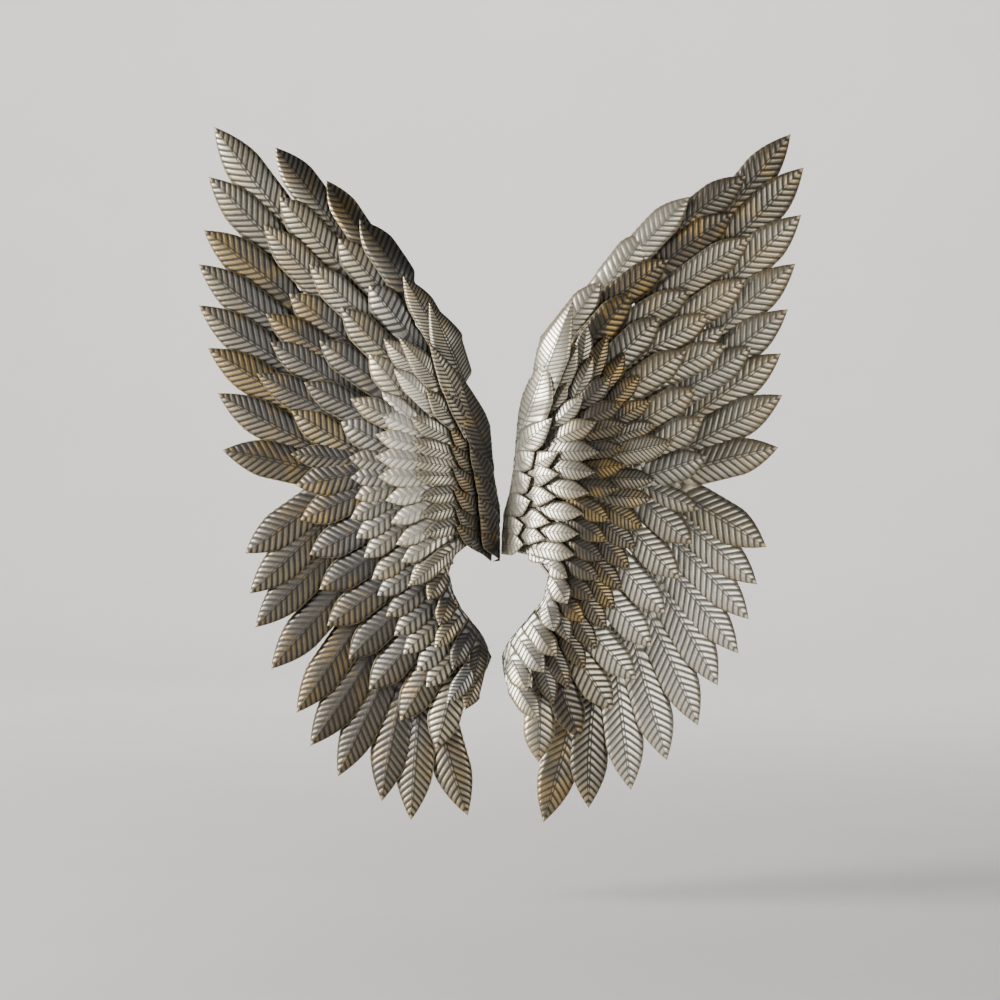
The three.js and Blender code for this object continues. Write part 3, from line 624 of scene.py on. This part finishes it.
def add_leaf(bm, layers, side, r, edge, leaf, layer):
    """One leaf on a grid of its own, shaped in place, with the values that its finish needs."""
    seat, tip, width = leaf["root"], leaf["tip"], leaf["width"]
    run = Vector((tip.x - seat.x, tip.y - seat.y))
    length = run.length
    across = Vector((run.y, -run.x)).normalized()
    rod = Vector((leaf["rod"].x, leaf["rod"].y)).normalized()
    rod = rod if rod.dot(across) > 0 else -rod
    grip = ease(rod.dot(across) / GRIP_TURN)
    veins = max(FEWEST_VEINS, round(length / r["pitch"]))
    steep = min(r["slant"], MOST_SLANT * (1 - r["belly"]) * length / (0.5 * width))
    bend = chance.uniform(-BEND, BEND) * length
    swell = chance.uniform(*SWELLS)
    curl = chance.uniform(*CURLS)
    tone, hue = chance.random(), chance.random()
    paint = brushing_and_painted_light(side, tip.x, tip.y)
    spare = r["spare"] * min(1, r["length"] / length)
    made = bmesh.ops.create_grid(
        bm, x_segments=COLUMNS, y_segments=veins * LINES_PER_VEIN, size=1.0
    )
    for v in made["verts"]:
        u = math.copysign(abs(v.co.x) ** COLUMN_CROWDING, v.co.x)
        q = 0.5 + 0.5 * v.co.y
        ridge = abs(math.sin(math.pi * q * veins))
        base = q * (1 + spare) - spare
        s = base
        for _ in range(SLANT_ROUNDS):
            shift = steep * 0.5 * width * outline(s, r) / length
            s = min(1, base + shift * abs(u) ** 1.1 * ease(base / 0.2))
        half = 0.5 * width * outline(s, r) * (1 - NOTCH * (1 - ridge) * abs(u) ** 3)
        spread = across.lerp(rod, grip * (1 - ease(s / GRIP_SHARE)))
        spot = Vector((seat.x, seat.y)) + run * s + spread * (u * half)
        spot += across * (bend * 4 * clamp(s) * (1 - s))
        out = max(inner_edge(edge, spot.y), spot.x)
        vein = r["rise"] * r["pitch"] * ridge * ease(abs(u) / 0.3) * ease(base / 0.1)
        vein *= 1 - RIM_FLATTENING * abs(u) ** 4
        rise = ease(base / SEAT_SHARE)
        roof = FOLD * width * fold(s, r) * (1 - abs(u) ** ROOF_POWER) * swell * rise
        bead = BEAD * math.exp(-((u / BEAD_SHARE) ** 2)) * ease(s / 0.1)
        over = ROLL * width * outline(s, r) * (1 - leaf["roll"] * u) / 2 * rise
        lift = (TIP_LIFT + curl) * clamp(s) ** 3
        depth = shell(out, spot.y) + layer + roof + vein + bead + over + lift
        v.co = place(side, out, spot.y, depth)
        v[layers["along"]] = s
        v[layers["tone"]] = tone
        v[layers["hue"]] = hue
        for name, amount in paint.items():
            v[layers[name]] = amount
        for loop in v.link_loops:
            loop[layers["uv"]].uv = (0.5 + 0.5 * u, q * veins)


print("grid of a leaf", COLUMNS, "columns,", LINES_PER_VEIN, "lines for each vein")

# %% [markdown]
# All leaves of a row share one rod, so they become one piece that stands for the row of the
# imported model. Each row lies in front of the one before by the thickness of a folded leaf.
# The piece has two materials, one for its front and one for the back of the sheet.

# %% Build the rows
SHEET_SHOWN = 0.8


def build_row(side, hand, r, edge, layer):
    leaves, run = lay_out(r, edge, layer)
    bm = bmesh.new()
    layers = {name: bm.verts.layers.float.new(name) for name in ("along", "tone", "hue", *PAINTS)}
    layers["uv"] = bm.loops.layers.uv.new("leaf")
    for leaf in leaves:
        add_leaf(bm, layers, side, r, edge, leaf, layer)
    bmesh.ops.remove_doubles(bm, verts=bm.verts, dist=2e-5)
    if side < 0:
        bmesh.ops.reverse_faces(bm, faces=bm.faces)
    for face in bm.faces:
        face.smooth = True
    mesh = bpy.data.meshes.new(f"{r['name']}_feathers_{hand}")
    bm.to_mesh(mesh)
    bm.free()
    piece = bpy.data.objects.new(mesh.name, mesh)
    bpy.context.scene.collection.objects.link(piece)
    wall = piece.modifiers.new("sheet", "SOLIDIFY")
    wall.thickness = SHEET_SHOWN * MM
    wall.offset = -1
    wall.material_offset = 1
    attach(piece, "root")
    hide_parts(f"{r['name']}_leaves_{hand}")
    return piece, run


WINGS = (
    (1, "right", RIGHT_ROWS, RIGHT_EDGE),
    (-1, "left", LEFT_ROWS, LEFT_EDGE),
)
seam_depth = max(stack_depth(rows) for _, _, rows, _ in WINGS)
feathers, runs = [], []
for side, hand, rows, edge in WINGS:
    layer = seam_depth - stack_depth(rows)
    for r in rows:
        piece, run = build_row(side, hand, r, edge, layer)
        feathers.append(piece)
        runs.append((side, hand, run[1:-1]))
        layer += layer_step(r)
    print(hand, "wing", len(rows), "rows", sum(len(o.data.polygons) for o in feathers), "faces so far")

# %% [markdown]
# The rods are round wire, bent to the run of the roots behind their leaves. A ring of edges
# is made at each root, square to the run, and the rings are bridged into a tube with closed
# ends. A tube from bridged rings follows a bent run better than straight cylinders would.

# %% Build the rods
ROD_SIDES = 8


def add_rod(bm, side, run):
    spots = [place(side, p.x, p.y, p.z - 0.5 * ROD - SHEET_SHOWN) for p in run]
    rings = []
    for i, spot in enumerate(spots):
        ahead = spots[min(i + 1, len(spots) - 1)] - spots[max(i - 1, 0)]
        turn = ahead.to_track_quat("Z", "Y").to_matrix().to_4x4()
        ring = bmesh.ops.create_circle(
            bm, segments=ROD_SIDES, radius=0.5 * ROD * MM, cap_ends=i in (0, len(spots) - 1),
            matrix=Matrix.Translation(spot) @ turn,
        )
        rings.append(ring["verts"])
    for a, b in zip(rings, rings[1:]):
        loops = {e for v in a + b for e in v.link_edges if e.other_vert(v) in a + b}
        flat = [e for e in loops if (e.verts[0] in a) == (e.verts[1] in a)]
        bmesh.ops.bridge_loops(bm, edges=flat)


rods = []
for hand in ("right", "left"):
    bm = bmesh.new()
    for side, which, run in runs:
        if which == hand:
            add_rod(bm, side, run)
    bmesh.ops.recalc_face_normals(bm, faces=bm.faces)
    for face in bm.faces:
        face.smooth = True
    mesh = bpy.data.meshes.new(f"row_rods_{hand}")
    bm.to_mesh(mesh)
    bm.free()
    piece = bpy.data.objects.new(mesh.name, mesh)
    bpy.context.scene.collection.objects.link(piece)
    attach(piece, "root")
    rods.append(piece)
    print(mesh.name, len(mesh.polygons), "faces")

# %% [markdown]
# Shader maths reads best as plain expressions. This small class holds a socket, and its
# operators add Math nodes, so that a mask can be written as it would be on paper.

# %% A class for shader maths
class Value:
    def __init__(self, tree, socket):
        self.tree, self.socket = tree, socket

    def math(self, operation, other=None, swap=False):
        node = self.tree.nodes.new("ShaderNodeMath")
        node.operation = operation
        ends = [self] if other is None else [other, self] if swap else [self, other]
        for socket, end in zip(node.inputs, ends):
            connect(self.tree, socket, end)
        return Value(self.tree, node.outputs[0])

    def __add__(self, other):
        return self.math("ADD", other)

    def __sub__(self, other):
        return self.math("SUBTRACT", other)

    def __rsub__(self, other):
        return self.math("SUBTRACT", other, swap=True)

    def __mul__(self, other):
        return self.math("MULTIPLY", other)

    def __abs__(self):
        return self.math("ABSOLUTE")

    __radd__, __rmul__ = __add__, __mul__


def connect(tree, socket, end):
    """A socket gets a link from a Value, or a plain value."""
    if isinstance(end, Value):
        tree.links.new(end.socket, socket)
    else:
        socket.default_value = end


print("operators on sockets ready")

# %% [markdown]
# A finish is a material with its tree of nodes. One method adds any node from its type, its
# settings and its sockets, and short methods on top of it give noise, smooth steps and mixed
# colours, so that the finishes below read as lists of coats.

# %% A finish and its nodes
class Finish:
    """A material and the nodes that are added to it."""

    def __init__(self, name):
        self.material = bpy.data.materials.new(name)
        self.material.use_nodes = True
        self.tree = self.material.node_tree
        self.shader = self.tree.nodes["Principled BSDF"]

    def node(self, kind, settings=None, out=0, **inputs):
        """Any node: its type, its settings, then the values or links of its sockets."""
        made = self.tree.nodes.new(kind)
        for name, value in (settings or {}).items():
            setattr(made, name, value)
        for name, end in inputs.items():
            connect(self.tree, made.inputs[name.replace("_", " ")], end)
        return Value(self.tree, made.outputs[out])

    def attribute(self, name):
        return self.node("ShaderNodeAttribute", {"attribute_name": name}, out="Fac")

    def ramp(self, value, low, high):
        """0 below low, 1 above high, smooth between."""
        made = self.tree.nodes.new("ShaderNodeMapRange")
        made.interpolation_type = "SMOOTHSTEP"
        for name, end in {"Value": value, "From Min": low, "From Max": high}.items():
            connect(self.tree, made.inputs[name], end)
        return Value(self.tree, made.outputs["Result"])

    def noise(self, scale, detail, roughness=0.55):
        coords = self.node("ShaderNodeTexCoord", out="Object")
        return self.node(
            "ShaderNodeTexNoise", out="Fac", Vector=coords, Scale=scale, Detail=detail,
            Roughness=roughness,
        )

    def mix(self, factor, a, b):
        """Colour a where factor is 0 and colour b where it is 1."""
        made = self.tree.nodes.new("ShaderNodeMix")
        made.data_type = "RGBA"
        connect(self.tree, made.inputs["Factor"], factor)
        for socket, end in zip([s for s in made.inputs if s.type == "RGBA"], (a, b)):
            connect(self.tree, socket, end)
        return Value(self.tree, next(s for s in made.outputs if s.type == "RGBA"))

    def set(self, **inputs):
        for name, end in inputs.items():
            connect(self.tree, self.shader.inputs[name.replace("_", " ")], end)


def colour(red, green, blue):
    """A colour given as it looks on screen, 0 to 255, turned into the shader's own scale."""
    return (*[((v / 255 + 0.055) / 1.055) ** 2.4 for v in (red, green, blue)], 1.0)


print("gold on screen", (192, 176, 136), "is", [round(v, 3) for v in colour(192, 176, 136)[:3]])

# %% [markdown]
# The backs of the leaves, the rods and the back frames are plain metal under an even coat.
# One function makes all three finishes: two close colours in clouds, and a fine grain that
# breaks up the shine, because a single flat colour never looks like metal.

# %% Plain metal
def plain_finish(name, low, high, metallic):
    f = Finish(name)
    grain = f.noise(260.0, 4.0)
    cloud = f.noise(24.0, 3.0)
    bump = f.node("ShaderNodeBump", out="Normal", Strength=0.25, Distance=0.0005, Height=grain)
    f.shader.inputs["Metallic"].default_value = metallic
    f.set(
        Base_Color=f.mix(f.ramp(cloud, 0.35, 0.7), low, high),
        Roughness=0.45 + 0.2 * grain,
        Normal=bump,
    )
    return f.material


print("plain finish ready")

# %% [markdown]
# The leaves are painted a dark brown that stays in the grooves. Steel grey and champagne gold
# are brushed over it, so that they catch on the veins. Then come the amounts that each leaf
# carries, with painted light and shade in them: gold turns the brushed coat to bronze, partly
# real bronze and partly painted shade; light turns it to silver and near white, which is
# painted light with a painted highlight; and a light below zero turns it to a dull brown, which
# is painted shade. Fill carries the coat into the grooves, on the lit leaves as painted light.
# Here and there a yellow glint shows. The rim and the tip are rubbed brighter, and well filled
# leaves turn tan towards their tips. Masks made from the leaf's own coordinates and from noise
# mix these coats.

# %% The leaf finish
def leaf_finish():
    f = Finish("antique_gold_leaf")
    uv = f.node("ShaderNodeUVMap", {"uv_map": "leaf"}, out="UV")
    across = f.node("ShaderNodeSeparateXYZ", out="X", Vector=uv) * 2.0 - 1.0
    phase = f.node("ShaderNodeSeparateXYZ", out="Y", Vector=uv)
    u = abs(across)
    s, tone, hue = f.attribute("along"), f.attribute("tone"), f.attribute("hue")

    light, gold, fill = [f.attribute(name) for name in PAINTS]
    broad = f.noise(7.0, 2.0)
    cloud = f.noise(34.0, 4.0)
    fine = f.noise(420.0, 4.0, 0.65)
    wave = abs((phase * math.pi + (cloud - 0.5) * 0.5).math("SINE"))
    rib = f.ramp(wave + (fine - 0.5) * 0.45 + 0.5 * fill, 0.35, 1.0)
    beside = f.ramp(abs(u - 0.075), 0.01, 0.05)
    rim = f.ramp(u + (fine - 0.5) * 0.08, 0.93, 0.99)
    tip = f.ramp(s + (fine - 0.5) * 0.05, 0.94, 0.99)

    upper = f.ramp(across + (cloud - 0.5) * 0.9, -0.3, 0.3)
    warm = f.ramp(0.5 * s + 0.2 * upper + 1.2 * (broad - 0.5) + 0.5 * (hue - 0.5), 0.05, 0.7)
    yellow = f.ramp(cloud + 0.2 * (broad + hue - 1.0) + 0.1 * (s - 0.6), 0.5, 0.64)

    steel = f.mix(tone, colour(98, 100, 102), colour(140, 142, 144))
    champagne = f.mix(tone, colour(122, 113, 94), colour(170, 160, 134))
    brushed_and_painted_light = f.mix(warm, steel, champagne)
    # Bronze: partly the real bronze, and partly painted shade on the leaves that face away from the
    # key light.
    brushed_and_painted_light = f.mix(0.65 * gold, brushed_and_painted_light, f.mix(tone, colour(76, 65, 48), colour(112, 97, 70)))
    brushed_and_painted_light = f.mix(yellow * (0.3 + 0.4 * gold), brushed_and_painted_light, colour(176, 146, 84))
    # Silver and near white where light is high are painted light and a painted highlight; below zero,
    # the dull brown is painted shade.
    brushed_and_painted_light = f.mix(0.65 * light, brushed_and_painted_light, colour(216, 209, 188))
    brushed_and_painted_light = f.mix(light - 1.0, brushed_and_painted_light, colour(246, 242, 230))
    brushed_and_painted_light = f.mix(-0.8 * light, brushed_and_painted_light, colour(70, 63, 54))
    dark = f.mix(cloud, colour(17, 15, 13), colour(36, 31, 26))
    cover = f.ramp(rib * beside * (0.6 + 0.8 * fine), 0.0, 1.0)
    # Dark patina stays in the grooves; fill, here and in the rib mask, lifts them, on the lit leaves
    # as painted light.
    base = f.mix((0.05 + fill) + (0.95 - fill) * cover, dark, brushed_and_painted_light)
    base = f.mix(f.ramp(rim + tip, 0.2, 1.0) * 0.5, base, colour(192, 176, 136))
    tan = f.ramp(s + 0.35 * u + 0.3 * (cloud - 0.5), 0.8, 1.25)
    base = f.mix(tan * 2.2 * fill, base, colour(136, 110, 70))

    bump = f.node(
        "ShaderNodeBump", out="Normal", Strength=0.35, Distance=0.0008,
        Height=fine * 0.4 + cloud * 0.6,
    )
    f.set(
        Base_Color=base,
        Metallic=0.3 + 0.55 * cover,
        Roughness=0.56 - 0.2 * cover + 0.12 * (fine - 0.5),
        Normal=bump,
    )
    return f.material


gold_leaf = leaf_finish()
back_coat = plain_finish("leaf_back_coat", colour(30, 27, 24), colour(52, 46, 40), 0.3)
for piece in feathers:
    piece.data.materials.append(gold_leaf)
    piece.data.materials.append(back_coat)
print("leaf finish", len(gold_leaf.node_tree.nodes), "nodes on", len(feathers), "rows")

# %% [markdown]
# The rods are bronze wire, which shows where the leaves leave it open at the heart. The back
# frames are steel under a dark paint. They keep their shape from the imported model, and only
# their material slots are filled here.

# %% Finish of the rods and the back frames
rod_bronze = plain_finish("rod_bronze", colour(110, 100, 80), colour(160, 150, 126), 0.8)
dark_steel = plain_finish("dark_frame_paint", colour(34, 32, 30), colour(58, 54, 50), 0.4)
for piece in rods:
    piece.data.materials.append(rod_bronze)
for hand in ("right", "left"):
    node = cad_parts[f"back_frame_{hand}"]
    node.data.materials.clear()
    node.data.materials.append(dark_steel)
print("bronze on", len(rods), "rod pieces, dark paint on 2 back frames")

# %% [markdown]
# The studio is plain. A pale floor runs back and sweeps up behind the wings, far enough away
# to leave the back free to look at. One large soft light stands far to the left and grazes
# the wings, because their left-facing leaves are bright and the far side of the ridge is
# dark. A weak fill from the right keeps the shaded leaves readable, and a third lamp is
# turned to the sweep.

# %% Floor and sweep
FLOOR_LEVEL = -0.745
STUDIO_WIDTH = 24.0
STUDIO_FRONT = -9.0
SWEEP_START = 6.0
SWEEP_RADIUS = 2.5
SWEEP_STEPS = 12
SWEEP_TOP = 6.0


def stage_finish():
    f = Finish("pale_floor")
    speck = f.noise(3.0, 2.0)
    f.set(
        Base_Color=f.mix(speck, colour(222, 220, 216), colour(228, 226, 222)),
        Roughness=0.85,
    )
    return f.material


bm = bmesh.new()
rail = [bm.verts.new((-0.5 * STUDIO_WIDTH, STUDIO_FRONT, FLOOR_LEVEL))]
for i in range(SWEEP_STEPS + 1):
    turn = 0.5 * math.pi * i / SWEEP_STEPS
    y = SWEEP_START + SWEEP_RADIUS * math.sin(turn)
    z = FLOOR_LEVEL + SWEEP_RADIUS * (1 - math.cos(turn))
    rail.append(bm.verts.new((-0.5 * STUDIO_WIDTH, y, z)))
rail.append(bm.verts.new((-0.5 * STUDIO_WIDTH, SWEEP_START + SWEEP_RADIUS, SWEEP_TOP)))
lines = [bm.edges.new(pair) for pair in zip(rail, rail[1:])]
made = bmesh.ops.extrude_edge_only(bm, edges=lines)
moved = [v for v in made["geom"] if isinstance(v, bmesh.types.BMVert)]
bmesh.ops.translate(bm, verts=moved, vec=(STUDIO_WIDTH, 0, 0))
bmesh.ops.recalc_face_normals(bm, faces=bm.faces)
for face in bm.faces:
    face.smooth = True
mesh = bpy.data.meshes.new("studio_floor")
bm.to_mesh(mesh)
bm.free()
floor = bpy.data.objects.new("studio_floor", mesh)
bpy.context.scene.collection.objects.link(floor)
floor.data.materials.append(stage_finish())
print("floor level", FLOOR_LEVEL, "m")

# %% Lights
TARGET = Vector((0, -0.05, -0.2))
WARM = (1.0, 0.98, 0.95)
SKY, SKY_STRENGTH = (0.85, 0.9, 1.0, 1), 0.09


def area_light(name, spot, size, power, tint=(1, 1, 1), target=TARGET):
    light = bpy.data.lights.new(name, "AREA")
    light.shape = "RECTANGLE"
    light.size, light.size_y = size
    light.energy = power
    light.color = tint
    lamp = bpy.data.objects.new(name, light)
    lamp.location = spot
    lamp.rotation_euler = (target - Vector(spot)).to_track_quat("-Z", "Y").to_euler()
    bpy.context.scene.collection.objects.link(lamp)
    return lamp


area_light("key", (-4.8, -1.5, 0.6), (2.8, 3.6), 950, WARM)
area_light("fill", (2.8, -3.0, 0.0), (2.4, 1.4), 62, WARM)
area_light("sweep_wash", (0, 3.5, 4.5), (8.0, 2.0), 480, target=Vector((0, 8.5, 0.5)))
world = bpy.data.worlds.new("studio")
world.use_nodes = True
world.node_tree.nodes["Background"].inputs["Color"].default_value = SKY
world.node_tree.nodes["Background"].inputs["Strength"].default_value = SKY_STRENGTH
bpy.context.scene.world = world

# %% [markdown]
# The wings are seen straight from the front, level with their middle. A long lens far
# away keeps the near rows and the far rows at one scale.

# %% Camera
IMAGE_WIDTH = 1.295
CAMERA_SPOT = Vector((-0.0008, -4.5, -0.2205))
WINGS_PLANE = -0.045
SENSOR = 36.0

lens = bpy.data.cameras.new("front_view")
lens.sensor_width = SENSOR
lens.lens = SENSOR * (WINGS_PLANE - CAMERA_SPOT.y) / IMAGE_WIDTH
camera = bpy.data.objects.new("front_view", lens)
camera.location = CAMERA_SPOT
camera.rotation_euler = (math.radians(90), 0, 0)
bpy.context.scene.collection.objects.link(camera)
bpy.context.scene.camera = camera
print("lens", round(lens.lens, 1), "mm")
